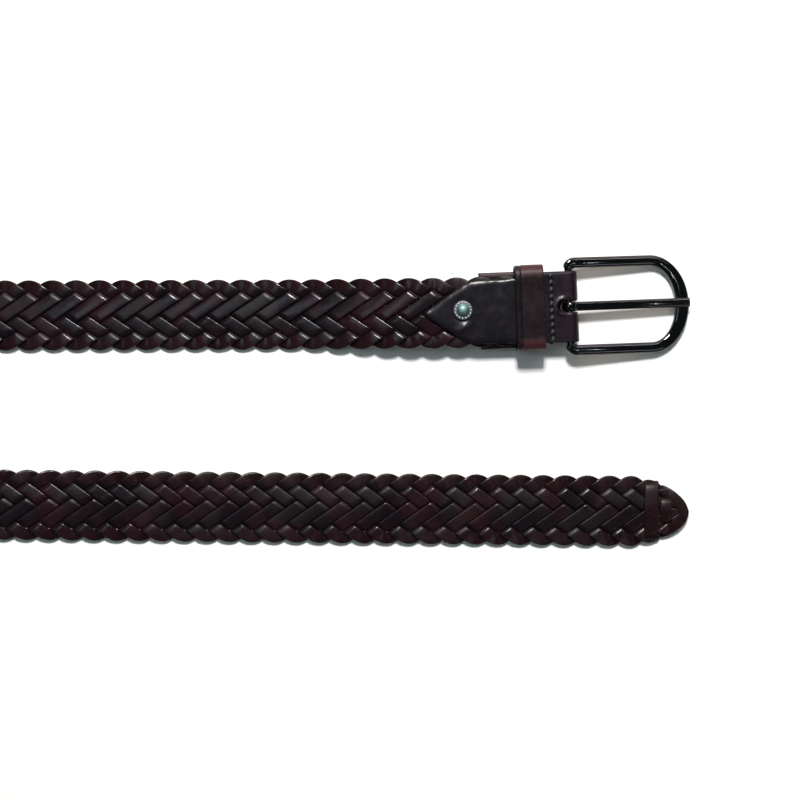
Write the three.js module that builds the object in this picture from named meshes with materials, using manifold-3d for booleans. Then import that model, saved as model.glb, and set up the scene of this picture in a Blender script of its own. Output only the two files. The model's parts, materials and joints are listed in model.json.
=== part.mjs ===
// A braided leather belt with a prong buckle, laid on a surface in one long hairpin.
// Both ends lie flat, and the middle of the strap stands on its edge where it bends round.
// Units are millimetres and +Z is up. The layout starts at the middle of the buckle's bar.

import * as THREE from "three";
import { mergeVertices } from "three/addons/utils/BufferGeometryUtils.js";
import Module from "manifold-3d";

const wasm = await Module();
wasm.setup();

// Braided strap
const strapWidth = 35;
const strapThickness = 4;
const strapLength = 1076;
const pitchAtBuckle = 12;
const pitchAtTip = 11;
const laceThickness = 1.9;
const scallopDepth = 2.4;
const reliefDepth = 1.1;
const edgeOverhang = 1.7;
const tipTaperLength = 30;
const tipRoundness = 0.79;
const noseLength = 0.8;

// How the strap lies
const headHeading = 2.3;
const runHeading = 0.2;
const returnHeading = -0.58;
const headStraight = 37;
const headingEase = 30;
const strapShift = 0.85;
const bendStart = 431.6;
const bendRadius = 46.1;
const twistLength = 157;
const descentLength = 70;

// Leather tab folded round the bar
const tabThickness = 1.8;
const tabLength = 72;
const tabPointLength = 22.6;
const tabPointFlat = 4;
const tabShoulderRound = 5;
const backFlapLength = 44.5;
const frontFlapInset = 3;
const frontFlapShift = 1;
const backFlapOverhang = 3;
const backFlapShift = 0.4;
const waistLength = 12;
const tabLift = 5.5;
const strapSetback = 8;
const slotEnd = 6.5;

// Keeper loop
const keeperThickness = 1.5;
const keeperWidth = 14;
const keeperStart = 13;
const keeperPassage = 4.4;
const keeperSideRoom = 0.75;
const keeperFrontBend = 2.5;
const keeperBackBend = 0.5;

// Snap
const snapDiameter = 10;
const snapDistance = 53;
const snapRimHeight = 1.1;
const snapDome = 0.9;
const snapBackHeight = 1;
const postDiameter = 4;
// Where the cap's rounded edge, its ring and its dome's crown begin, as shares of its radius
const snapEdge = 0.9;
const snapRing = 0.7;
const snapCrown = 0.4;
const snapEdgeDrop = 0.33;
const snapCrownDrop = 0.22;

// Buckle
const barDiameter = 4;
const armWidth = 5.3;
const armHeight = 4.2;
const farWidth = 6.8;
const farHeight = 4.4;
const armSideGap = 1.5;
const armLength = 41;
const endLength = 16.1;
const cornerRadius = 3.05;
const cornerWidth = 5.9;

// Prong
const prongWidth = 4.6;
const prongThickness = 3;
const prongTipThickness = 2.2;
const prongOverreach = 3.1;
const eyeWall = 1.6;
const slotSideGap = 0.5;

// Room kept between pieces that touch on the real belt
const clearance = 0.3;

// Facets
const laceRows = 7;
const boreSegments = 24;
const bendSegments = 5;
const postSegments = 12;
const capSegments = 20;
const loopSides = 10;
const endStations = 16;
const cornerStations = 4;

const degree = Math.PI / 180;
const foldInner = Math.max(strapThickness, barDiameter) / 2 + clearance;
const foldOuter = foldInner + tabThickness;
const barHeight = tabLift + foldOuter;
const backFlapWidth = strapWidth + backFlapOverhang;
const rowSpacing = (strapWidth - 2 * edgeOverhang) / (laceRows + 1);

function material(name, colour, roughness, metalness) {
  const made = new THREE.MeshStandardMaterial({ color: colour, roughness, metalness });
  made.name = name;
  made.flatShading = true;
  return made;
}

const laceLeather = material("lace_leather", 0x2e1318, 0.42, 0);
const tabLeather = material("tab_leather", 0x1f1820, 0.36, 0);
const keeperLeather = material("keeper_leather", 0x2b171c, 0.4, 0);
const gunmetal = material("gunmetal", 0x17171a, 0.14, 1);
const snapMetal = material("snap_metal", 0x4d6668, 0.22, 1);

function smoothStep(share) {
  const t = Math.min(1, Math.max(0, share));
  return t * t * (3 - 2 * t);
}

// A closed three.js geometry as a solid that can be joined and cut
function solidOf(geometry) {
  const bare = geometry.clone();
  bare.deleteAttribute("normal");
  bare.deleteAttribute("uv");
  const merged = mergeVertices(bare, 1e-4);
  return new wasm.Manifold(
    new wasm.Mesh({
      numProp: 3,
      vertProperties: merged.attributes.position.array,
      triVerts: new Uint32Array(merged.index.array),
    }),
  );
}

function geometryOf(solid) {
  const mesh = solid.getMesh();
  const geometry = new THREE.BufferGeometry();
  geometry.setAttribute("position", new THREE.BufferAttribute(mesh.vertProperties, 3));
  geometry.setIndex(new THREE.BufferAttribute(mesh.triVerts, 1));
  geometry.computeVertexNormals();
  return geometry;
}

function piece(name, geometry, finish) {
  const mesh = new THREE.Mesh(geometry, finish);
  mesh.name = name;
  return mesh;
}

function prism(outline, depth) {
  return new THREE.ExtrudeGeometry(outline, { depth, bevelEnabled: false, curveSegments: boreSegments / 2 });
}

// Upright round pin centred on an axis through x, y, from z = bottom to top
function pin(radius, bottom, top, x, y, sides) {
  const made = new THREE.CylinderGeometry(radius, radius, top - bottom, sides);
  made.rotateX(Math.PI / 2);
  made.translate(x, y, (top + bottom) / 2);
  return made;
}

// Turns a side view drawn in X and Z, and extruded, so that the extrusion runs across the belt
function acrossTheBelt(geometry, width) {
  geometry.rotateX(Math.PI / 2);
  geometry.translate(0, width / 2, 0);
  return geometry;
}

// Plan of the strap's middle line: straight and round stretches, from the buckle end to the tip
const bendTurn = (180 + returnHeading - runHeading) * degree;
const bendLength = bendRadius * bendTurn;
const planStretches = [
  { length: headStraight, turn: 0 },
  { length: headingEase, turn: (runHeading - headHeading) * degree },
  { length: bendStart - headStraight - headingEase, turn: 0 },
  { length: bendLength, turn: bendTurn },
  { length: Infinity, turn: 0 },
];

function planAt(station) {
  let heading = (180 + headHeading) * degree;
  let x = strapSetback * Math.cos(heading) - strapShift * Math.sin(heading);
  let y = strapSetback * Math.sin(heading) + strapShift * Math.cos(heading);
  let left = station;
  for (const stretch of planStretches) {
    const step = Math.min(left, stretch.length);
    if (stretch.turn === 0) {
      x += step * Math.cos(heading);
      y += step * Math.sin(heading);
    } else {
      const radius = stretch.length / stretch.turn;
      const turned = step / radius;
      x += radius * (Math.sin(heading + turned) - Math.sin(heading));
      y += radius * (Math.cos(heading) - Math.cos(heading + turned));
      heading += turned;
    }
    left -= step;
    if (left <= 0) break;
  }
  return { x, y, heading };
}

// The strap turns onto its edge before the bend and lies down again after it
function twistAt(station) {
  const onto = smoothStep((station - bendStart + twistLength) / twistLength);
  const off = smoothStep((bendStart + bendLength + twistLength - station) / twistLength);
  return (Math.PI / 2) * onto * off;
}

function liftAt(station) {
  const levelLength = tabLength - strapSetback;
  const lifted = barHeight - strapThickness / 2;
  return lifted * (1 - smoothStep((station - levelLength) / descentLength));
}

// A point of the strap: along it, across it towards the side of row 0, and out of its front face
function strapPoint(station, across, out) {
  const { x, y, heading } = planAt(station);
  const twist = twistAt(station);
  const side = new THREE.Vector3(Math.sin(heading), -Math.cos(heading), 0);
  const up = new THREE.Vector3(0, 0, 1);
  const front = up.clone().multiplyScalar(Math.cos(twist)).addScaledVector(side, Math.sin(twist));
  const width = side.clone().multiplyScalar(Math.cos(twist)).addScaledVector(up, -Math.sin(twist));
  const resting = (strapWidth / 2) * Math.sin(twist) + (strapThickness / 2) * Math.cos(twist);
  return new THREE.Vector3(x, y, resting + liftAt(station))
    .addScaledVector(width, across)
    .addScaledVector(front, out);
}

// The pitch of the braid shrinks evenly along the strap, so its stations are an exponential curve
const pitchRate = (pitchAtTip - pitchAtBuckle) / strapLength;
function stationOfHalfPitch(count) {
  return (pitchAtBuckle * (Math.exp((pitchRate * count) / 2) - 1)) / pitchRate;
}

function widthShareAt(station) {
  const fromTip = strapLength - station;
  if (fromTip >= tipTaperLength) return 1;
  return (1 - (1 - fromTip / tipTaperLength) ** 2) ** tipRoundness;
}

// Laces that fall to the right as seen with the buckle on the right lie on top in these rows
const fallingOnTop = new Set([1, 5, 6]);

function laceOnTop(row, face) {
  const falling = fallingOnTop.has(row);
  return falling === (face > 0) ? "falling" : "rising";
}

// One closed band whose vertices are the crossings of the laces and the dips between them
function braidGeometry() {
  const stations = [0];
  for (let count = 1; stationOfHalfPitch(count) < strapLength - 2 * noseLength; count += 1) {
    stations.push(stationOfHalfPitch(count));
  }
  stations.push(strapLength - noseLength);

  const lastRow = laceRows + 1;
  const slots = [];
  for (let row = 0; row <= lastRow; row += 1) slots.push({ row, face: 1 });
  for (let row = lastRow; row >= 0; row -= 1) slots.push({ row, face: -1 });

  const positions = [];
  stations.forEach((station, column) => {
    const share = widthShareAt(station);
    for (const { row, face } of slots) {
      const crossing = (column + row) % 2 === 0;
      const isEdge = row === 0 || row === lastRow;
      const dip = crossing ? 0 : reliefDepth;
      const reach = strapWidth / 2 - (crossing ? 0 : scallopDepth);
      const across = isEdge ? reach * Math.sign(lastRow / 2 - row) : (lastRow / 2 - row) * rowSpacing;
      const out = isEdge ? laceThickness / 2 : strapThickness / 2 - dip;
      positions.push(...strapPoint(station, across * share, out * face).toArray());
    }
  });

  const around = slots.length;
  const index = [];
  for (let column = 0; column < stations.length - 1; column += 1) {
    for (let slot = 0; slot < around; slot += 1) {
      const next = (slot + 1) % around;
      const a = column * around + slot;
      const b = column * around + next;
      const c = a + around;
      const d = b + around;
      const { row, face } = slots[slot];
      const low = Math.min(row, slots[next].row);
      const along = (column + low) % 2 === 0 ? "rising" : "falling";
      const under = [low, low + 1].filter((r) => r > 0 && r < lastRow && laceOnTop(r, face) !== along);
      const valley = under.length === 2;
      // The split of a facet follows the lace that lies on top of it
      const risingSplit = (along === "rising") !== valley;
      const firstToLast = risingSplit === (face > 0);
      if (firstToLast) index.push(a, d, b, a, c, d);
      else index.push(a, c, b, b, c, d);
    }
  }

  const closeEnd = (column, point, outwards) => {
    const centre = positions.length / 3;
    positions.push(...point.toArray());
    for (let slot = 0; slot < around; slot += 1) {
      const a = column * around + slot;
      const b = column * around + ((slot + 1) % around);
      index.push(...(outwards ? [centre, a, b] : [centre, b, a]));
    }
  };
  closeEnd(0, strapPoint(0, 0, 0), true);
  closeEnd(stations.length - 1, strapPoint(strapLength, 0, 0), false);

  const geometry = new THREE.BufferGeometry();
  geometry.setAttribute("position", new THREE.Float32BufferAttribute(positions, 3));
  geometry.setIndex(index);
  return geometry;
}

function braidedStrap() {
  const heading = (180 + headHeading) * degree;
  const hole = pin(
    postDiameter / 2 + clearance,
    barHeight - foldOuter,
    barHeight + foldOuter,
    snapDistance * Math.cos(heading),
    snapDistance * Math.sin(heading),
    postSegments,
  );
  return piece("braided_strap", geometryOf(solidOf(braidGeometry()).subtract(solidOf(hole))), laceLeather);
}

// A flap drawn by its upper half; beyond the waist the whole flap may lie a little to one side
function flapOutline(halfPoints, shift) {
  const mirrored = halfPoints.map(([x, y]) => [x, -y]).reverse();
  const shifted = [...halfPoints, ...mirrored].map(([x, y]) => [x, x < -waistLength ? y - shift : y]);
  return new THREE.Shape(shifted.map(([x, y]) => new THREE.Vector2(x, y)));
}

function buckleTab() {
  const foldHalf = strapWidth / 2;
  const frontHalf = (strapWidth - frontFlapInset) / 2;
  const backHalf = backFlapWidth / 2;
  const shoulder = (waistLength + keeperStart + keeperWidth) / 2;
  const pointStart = tabPointLength - tabLength;
  const pointSlope = (frontHalf - tabPointFlat / 2) / tabPointLength;
  const frontHalfOutline = [
    [0, foldHalf],
    [-waistLength, foldHalf],
    [-shoulder, frontHalf],
    [pointStart + tabShoulderRound, frontHalf],
    [pointStart - tabShoulderRound, frontHalf - pointSlope * tabShoulderRound],
    [-tabLength, tabPointFlat / 2],
  ];
  const backHalfOutline = [
    [0, foldHalf],
    [-waistLength, foldHalf],
    [-shoulder, backHalf],
    [-backFlapLength, backHalf],
  ];
  const front = prism(flapOutline(frontHalfOutline, frontFlapShift), tabThickness).translate(0, 0, foldInner);
  const back = prism(flapOutline(backHalfOutline, backFlapShift), tabThickness).translate(0, 0, -foldOuter);

  const overlap = waistLength / 4;
  const side = new THREE.Shape();
  side.moveTo(-overlap, -foldOuter);
  side.lineTo(0, -foldOuter);
  side.absarc(0, 0, foldOuter, -Math.PI / 2, Math.PI / 2, false);
  side.lineTo(-overlap, foldOuter);
  side.lineTo(-overlap, foldInner);
  side.lineTo(0, foldInner);
  side.absarc(0, 0, foldInner, Math.PI / 2, -Math.PI / 2, true);
  side.lineTo(-overlap, -foldInner);
  const fold = acrossTheBelt(prism(side, 2 * foldHalf), 2 * foldHalf);

  const slotHalf = prongWidth / 2 + slotSideGap;
  const slotOutline = new THREE.Shape();
  slotOutline.moveTo(2 * foldOuter, -slotHalf);
  slotOutline.lineTo(2 * foldOuter, slotHalf);
  slotOutline.lineTo(slotHalf - slotEnd, slotHalf);
  slotOutline.absarc(slotHalf - slotEnd, 0, slotHalf, Math.PI / 2, (3 * Math.PI) / 2, false);
  const slot = prism(slotOutline, 4 * foldOuter).translate(0, 0, -2 * foldOuter);
  const hole = pin(postDiameter / 2 + clearance, 0, 2 * foldOuter, -snapDistance, 0, postSegments);

  const folded = solidOf(front).add(solidOf(fold)).add(solidOf(back));
  const cut = folded.subtract(solidOf(slot)).subtract(solidOf(hole));
  return piece("buckle_tab", geometryOf(cut), tabLeather);
}

function roundedRectangle(path, halfWidth, bottom, top, backRadius, frontRadius) {
  path.moveTo(halfWidth, bottom + backRadius);
  path.absarc(halfWidth - frontRadius, top - frontRadius, frontRadius, 0, Math.PI / 2, false);
  path.absarc(frontRadius - halfWidth, top - frontRadius, frontRadius, Math.PI / 2, Math.PI, false);
  path.absarc(backRadius - halfWidth, bottom + backRadius, backRadius, Math.PI, (3 * Math.PI) / 2, false);
  path.absarc(halfWidth - backRadius, bottom + backRadius, backRadius, (3 * Math.PI) / 2, 2 * Math.PI, false);
  return path;
}

// The loop goes round both flaps and leaves a passage above the front one for the strap's tip
function keeper() {
  const half = backFlapWidth / 2 + keeperSideRoom;
  const bottom = -foldOuter - clearance;
  const top = foldOuter + keeperPassage;
  const outline = roundedRectangle(
    new THREE.Shape(),
    half + keeperThickness,
    bottom - keeperThickness,
    top + keeperThickness,
    keeperBackBend + keeperThickness,
    keeperFrontBend + keeperThickness,
  );
  outline.holes.push(
    roundedRectangle(new THREE.Path(), half, bottom, top, keeperBackBend, keeperFrontBend),
  );
  const loop = new THREE.ExtrudeGeometry(outline, {
    depth: keeperWidth,
    bevelEnabled: false,
    curveSegments: bendSegments,
  });
  loop.applyMatrix4(
    new THREE.Matrix4().makeBasis(
      new THREE.Vector3(0, 1, 0),
      new THREE.Vector3(0, 0, 1),
      new THREE.Vector3(1, 0, 0),
    ),
  );
  loop.translate(-keeperStart - keeperWidth, 0, 0);
  return piece("keeper", loop, keeperLeather);
}

// Cap, post and back plate turned about one axis
function snap() {
  const capRadius = snapDiameter / 2;
  const postRadius = postDiameter / 2;
  const capBottom = foldOuter + clearance;
  const backTop = -strapThickness / 2 - clearance;
  const backBottom = backTop - snapBackHeight;
  const rimTop = capBottom + snapRimHeight;
  const profile = [
    [0, backBottom],
    [capRadius * snapEdge, backBottom],
    [capRadius, backTop],
    [postRadius, backTop],
    [postRadius, capBottom],
    [capRadius, capBottom],
    [capRadius, rimTop - snapEdgeDrop],
    [capRadius * snapEdge, rimTop],
    [capRadius * snapRing, rimTop],
    [capRadius * snapCrown, rimTop + snapDome - snapCrownDrop],
    [0, rimTop + snapDome],
  ].map(([radius, height]) => new THREE.Vector2(radius, height));
  const turned = new THREE.LatheGeometry(profile, capSegments);
  turned.rotateX(Math.PI / 2);
  const mesh = piece("snap", geometryOf(solidOf(turned)), snapMetal);
  mesh.position.x = -snapDistance;
  return mesh;
}

// Half of the frame's middle line, from the bar to the far end, with the metal's width and height
const cornerStart = strapWidth / 2 + armSideGap + armWidth / 2 - cornerRadius;
function frameHalf() {
  const armOut = cornerStart + cornerRadius;
  const line = [{ x: 0, y: cornerStart, width: barDiameter, height: barDiameter }];
  for (let step = 1; step <= cornerStations; step += 1) {
    const share = step / cornerStations;
    const angle = (share * Math.PI) / 2;
    line.push({
      x: cornerRadius * (1 - Math.cos(angle)),
      y: cornerStart + cornerRadius * Math.sin(angle),
      width: cornerWidth + (armWidth - cornerWidth) * share,
      height: barDiameter + (armHeight - barDiameter) * share,
    });
  }
  for (let step = 0; step <= endStations / 2; step += 1) {
    const share = step / (endStations / 2);
    const angle = (share * Math.PI) / 2;
    const grown = smoothStep(share);
    line.push({
      x: armLength + endLength * Math.sin(angle),
      y: armOut * Math.cos(angle),
      width: armWidth + (farWidth - armWidth) * grown,
      height: armHeight + (farHeight - armHeight) * grown,
    });
  }
  return line;
}

// A closed loop of oval sections set square to a flat middle line
function loopGeometry(line, sides) {
  const positions = [];
  const index = [];
  line.forEach((point, at) => {
    const before = line[(at + line.length - 1) % line.length];
    const after = line[(at + 1) % line.length];
    const normal = new THREE.Vector2(after.y - before.y, before.x - after.x).normalize();
    for (let side = 0; side < sides; side += 1) {
      const angle = ((side + 0.5) / sides) * 2 * Math.PI;
      const sideways = (Math.cos(angle) * point.width) / 2;
      positions.push(
        point.x + normal.x * sideways,
        point.y + normal.y * sideways,
        (Math.sin(angle) * point.height) / 2,
      );
      const nextSide = (side + 1) % sides;
      const nextAt = (at + 1) % line.length;
      const a = at * sides + side;
      const b = at * sides + nextSide;
      const c = nextAt * sides + side;
      const d = nextAt * sides + nextSide;
      index.push(a, d, b, a, c, d);
    }
  });
  const geometry = new THREE.BufferGeometry();
  geometry.setAttribute("position", new THREE.Float32BufferAttribute(positions, 3));
  geometry.setIndex(index);
  return geometry;
}

function buckleFrame() {
  const half = frameHalf();
  const mirrored = half
    .slice(0, -1)
    .map((point) => ({ ...point, y: -point.y }))
    .reverse();
  return piece("buckle_frame", loopGeometry([...half, ...mirrored], loopSides), gunmetal);
}

// Eye round the bar and a straight shank whose tip lies on the frame's far end
function prong() {
  const eyeInner = barDiameter / 2 + clearance;
  const eyeOuter = eyeInner + eyeWall;
  const reach = armLength + endLength + prongOverreach;
  const neckAngle = Math.asin(prongThickness / 2 / eyeOuter);
  const outline = new THREE.Shape();
  outline.moveTo(reach, -prongTipThickness / 2);
  outline.lineTo(reach, prongTipThickness / 2);
  outline.lineTo(armLength, prongThickness / 2);
  outline.absarc(0, 0, eyeOuter, neckAngle, 2 * Math.PI - neckAngle, false);
  outline.lineTo(armLength, -prongTipThickness / 2);
  const bore = new THREE.Path();
  bore.absarc(0, 0, eyeInner, 0, 2 * Math.PI, true);
  outline.holes.push(bore);
  const body = acrossTheBelt(prism(outline, prongWidth), prongWidth);
  return piece("prong", body, gunmetal);
}

const farReach = armLength + endLength;
const frameTilt = Math.asin((barHeight - farHeight / 2) / farReach);
const prongRise = Math.asin((farHeight / 2 + clearance + prongTipThickness / 2) / farReach);

const prongGroup = new THREE.Group();
prongGroup.rotation.y = frameTilt - prongRise;
prongGroup.add(prong());

const frameGroup = new THREE.Group();
frameGroup.rotation.y = frameTilt;
frameGroup.add(buckleFrame());

const head = new THREE.Group();
head.rotation.z = headHeading * degree;
head.position.z = barHeight;
head.add(buckleTab(), keeper(), snap(), frameGroup, prongGroup);

const belt = new THREE.Group();
belt.add(braidedStrap(), head);

// The origin is under the middle of the whole belt, on the surface that it lies on
belt.updateMatrixWorld(true);
const extent = new THREE.Box3().setFromObject(belt, true);
const middle = extent.getCenter(new THREE.Vector3());
belt.position.set(-middle.x, -middle.y, -extent.min.z);

export default belt;
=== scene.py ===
# %% [markdown]
# # A braided leather belt with a prong buckle
# Eight flat leather laces are plaited into one band. A smooth leather tab joins the band to a black
# gunmetal buckle, a keeper loop holds the tip, and a press snap closes the tab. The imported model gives
# the size and the place of every piece, so this script starts from it and only adds the looks.

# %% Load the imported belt
import json
import math

import bmesh
import bpy
import numpy as np
from mathutils import Matrix, Vector, noise


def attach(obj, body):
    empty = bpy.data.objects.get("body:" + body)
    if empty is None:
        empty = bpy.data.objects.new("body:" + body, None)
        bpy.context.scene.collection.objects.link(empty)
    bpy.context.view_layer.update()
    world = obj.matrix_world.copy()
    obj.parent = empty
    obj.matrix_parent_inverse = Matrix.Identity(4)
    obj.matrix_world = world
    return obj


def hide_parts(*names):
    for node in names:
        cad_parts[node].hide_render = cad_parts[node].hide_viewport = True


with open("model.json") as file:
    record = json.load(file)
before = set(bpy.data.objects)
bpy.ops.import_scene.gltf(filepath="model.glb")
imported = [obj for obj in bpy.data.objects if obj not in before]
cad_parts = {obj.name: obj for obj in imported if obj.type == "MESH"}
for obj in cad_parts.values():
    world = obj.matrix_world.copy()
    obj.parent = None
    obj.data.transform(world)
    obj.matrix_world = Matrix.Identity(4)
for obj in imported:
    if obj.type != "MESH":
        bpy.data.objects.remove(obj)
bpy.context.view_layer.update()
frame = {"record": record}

MM = 0.001
record = frame["record"]

# %% [markdown]
# ## Expressions instead of boxes and wires
# A node tree is a formula. Wrapping a socket in a small class lets Python write that formula as text,
# and the same class serves the material trees and the geometry trees, because both have Math nodes.

# %% A socket that can be added, multiplied and compared
def add_node(tree, kind, inputs=None, **settings):
    """Adds a node, sets its settings first and then the values or links of its sockets."""
    node = tree.nodes.new(kind)
    for name, value in settings.items():
        setattr(node, name, value)
    for key, value in (inputs or {}).items():
        if isinstance(value, Field):
            tree.links.new(value.socket, node.inputs[key])
        else:
            node.inputs[key].default_value = value
    return node


def calculate(operation, *values, **settings):
    """One Math node on numbers and sockets."""
    tree = next(value.tree for value in values if isinstance(value, Field))
    node = add_node(tree, "ShaderNodeMath", dict(enumerate(values)), operation=operation, **settings)
    return Field(tree, node.outputs[0])


class Field:
    """A number that varies over a surface, written as a Python value."""

    def __init__(self, tree, socket):
        self.tree = tree
        self.socket = socket

    def __add__(self, other):
        return calculate("ADD", self, other)

    def __radd__(self, other):
        return calculate("ADD", other, self)

    def __sub__(self, other):
        return calculate("SUBTRACT", self, other)

    def __rsub__(self, other):
        return calculate("SUBTRACT", other, self)

    def __mul__(self, other):
        return calculate("MULTIPLY", self, other)

    def __rmul__(self, other):
        return calculate("MULTIPLY", other, self)

    def __truediv__(self, other):
        return calculate("DIVIDE", self, other)

    def __neg__(self):
        return calculate("MULTIPLY", self, -1.0)

    def __pow__(self, other):
        return calculate("POWER", self, other)

    def __abs__(self):
        return calculate("ABSOLUTE", self)


def smaller(first, second):
    return calculate("MINIMUM", first, second)


def larger(first, second):
    return calculate("MAXIMUM", first, second)


def ramp(value, low, high, kind="SMOOTHSTEP"):
    """0 up to low, 1 from high on, and a smooth rise between them. It falls if high is below low."""
    inputs = {"Value": value, "From Min": low, "From Max": high}
    node = add_node(value.tree, "ShaderNodeMapRange", inputs, interpolation_type=kind)
    return Field(value.tree, node.outputs["Result"])


def combine(operation, *values):
    """One Vector Math node; a scale goes in as the last value."""
    tree = next(value.tree for value in values if isinstance(value, Field))
    keys = [0, 3] if operation == "SCALE" else range(len(values))
    node = add_node(tree, "ShaderNodeVectorMath", dict(zip(keys, values)), operation=operation)
    return Field(tree, node.outputs[0])


# %% Start and finish of a geometry tree
def start_tree(name, wanted):
    """A new geometry tree with the wanted inputs, and those inputs as fields."""
    tree = bpy.data.node_groups.new(name, "GeometryNodeTree")
    for label, kind in wanted.items():
        tree.interface.new_socket(label, in_out="INPUT", socket_type="NodeSocket" + kind)
    tree.interface.new_socket("Geometry", in_out="OUTPUT", socket_type="NodeSocketGeometry")
    outputs = tree.nodes.new("NodeGroupInput").outputs
    return tree, {label: Field(tree, outputs[label]) for label in wanted}


def finish_tree(tree, shape, material):
    """Makes the shape's instances real, gives it its material and hands it out of the tree."""
    real = add_node(tree, "GeometryNodeRealizeInstances", {"Geometry": Field(tree, shape.outputs[0])})
    dressed = add_node(tree, "GeometryNodeSetMaterial",
                       {"Geometry": Field(tree, real.outputs[0]), "Material": material})
    out = tree.nodes.new("NodeGroupOutput")
    tree.links.new(dressed.outputs[0], out.inputs["Geometry"])
    return tree


# %% [markdown]
# ## Camera, floor and light
# The belt was photographed from straight above on a white surface, so the camera looks down with a
# long lens, which keeps the parallel edges parallel. One small lamp beyond the top of the picture makes
# the surface white and throws the short crisp shadows, and a wide warm light low behind it softens them.
# Dark leather and black metal show mostly what they mirror. So a dim blue-grey card hangs above the
# left part of the belt, long thin tubes draw the white lines along the bars and the far end of the
# buckle, and a few tiny spots make its small glints.

# %% Where the picture's middle is on the belt
joint = record["behaviour"]["joints"][0]
bar_middle = Vector(joint["pos_m"])
HEAD_TURN = math.atan2(joint["axis"][0], -joint["axis"][1])
PICTURE_WIDTH = 400 * MM
PICTURE_MIDDLE = bar_middle.xy + Vector((-84.0, -46.2)) * MM
CAMERA_HEIGHT = 0.95
SENSOR = 36.0


def make_camera():
    data = bpy.data.cameras.new("camera")
    data.sensor_width = SENSOR
    data.lens = SENSOR * CAMERA_HEIGHT / PICTURE_WIDTH
    camera = bpy.data.objects.new("camera", data)
    camera.location = (PICTURE_MIDDLE.x, PICTURE_MIDDLE.y, CAMERA_HEIGHT)
    bpy.context.scene.collection.objects.link(camera)
    bpy.context.scene.camera = camera
    print("camera lens in mm:", round(data.lens, 1))


make_camera()


# %% Floor, world and lamps
def make_floor():
    half = 1.6
    mesh = bpy.data.meshes.new("floor")
    corners = [(-half, -half, 0), (half, -half, 0), (half, half, 0), (-half, half, 0)]
    mesh.from_pydata(corners, [], [(0, 1, 2, 3)])
    floor = bpy.data.objects.new("floor", mesh)
    floor.location = (PICTURE_MIDDLE.x, PICTURE_MIDDLE.y, -0.0002)
    bpy.context.scene.collection.objects.link(floor)
    paper = bpy.data.materials.new("white_paper")
    paper.use_nodes = True
    shader = paper.node_tree.nodes["Principled BSDF"]
    shader.inputs["Base Color"].default_value = (0.93, 0.93, 0.93, 1)
    shader.inputs["Roughness"].default_value = 0.9
    mesh.materials.append(paper)


def soft_light(name, place, aim, size, watts, colour):
    data = bpy.data.lights.new(name, "AREA")
    data.shape = "RECTANGLE"
    data.size, data.size_y = size
    data.energy = watts
    data.color = colour
    lamp = bpy.data.objects.new(name, data)
    start = Vector((PICTURE_MIDDLE.x, PICTURE_MIDDLE.y, 0)) + Vector(place)
    end = Vector((PICTURE_MIDDLE.x, PICTURE_MIDDLE.y, 0)) + Vector(aim)
    lamp.matrix_world = Matrix.Translation(start) @ (start - end).to_track_quat("Z", "Y").to_matrix().to_4x4()
    bpy.context.scene.collection.objects.link(lamp)


HEAD_AIM, FAR_END_AIM = (0.11, 0.05, 0), (0.1, 0.05, 0)
WHITE = (1, 1, 1)
# Each light's name, place and aim in metres from the picture's middle, size, watts and colour
LIGHTS = [
    ("lamp", (0.0, 0.96, 1.6), (0, 0, 0), (0.28, 0.28), 40, (1.0, 0.985, 0.96)),
    ("warm_fill", (0.15, 1.45, 0.72), (0.1, 0.02, 0), (2.0, 0.8), 12, (1.0, 0.79, 0.64)),
    ("card", (-0.36, 0.2, 1.2), (-0.12, 0.05, 0), (0.42, 0.2), 1.1, (0.72, 0.86, 1.0)),
    ("tube", (0.62, 0.96, 1.6), HEAD_AIM, (0.75, 0.03), 1.7, WHITE),
    ("short_tube", (0.632, 0.06, 1.6), HEAD_AIM, (0.136, 0.008), 0.08, WHITE),
    ("side_tube_1", (0.71, 0.63, 1.3), FAR_END_AIM, (0.5, 0.03), 0.6, WHITE),
    ("side_tube_2", (0.71, -0.53, 1.3), FAR_END_AIM, (0.5, 0.03), 0.6, WHITE),
    ("spot_1", (0.564, 0.06, 1.6), HEAD_AIM, (0.012, 0.012), 0.04, WHITE),
    ("spot_2", (0.594, 0.06, 1.6), HEAD_AIM, (0.012, 0.012), 0.04, WHITE),
    ("spot_3", (0.70, 0.06, 1.6), HEAD_AIM, (0.012, 0.012), 0.04, WHITE),
]
make_floor()
for light in LIGHTS:
    soft_light(*light)
print("lights:", len(LIGHTS))

world = bpy.data.worlds.new("world")
world.use_nodes = True
world.node_tree.nodes["Background"].inputs["Color"].default_value = (0.8, 1.0, 0.93, 1)
world.node_tree.nodes["Background"].inputs["Strength"].default_value = 0.088
bpy.context.scene.world = world
bpy.context.scene.view_settings.view_transform = "Standard"

# %% [markdown]
# ## The line that the strap follows
# A flat strap can't bend in its own plane, so it turns onto its edge before the bend and lies down
# again after it. The line below gives the middle of the strap for every few millimetres, with the
# direction across the strap and the direction out of its front face. The laces then only have to
# know how far along, across and out they are.

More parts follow.
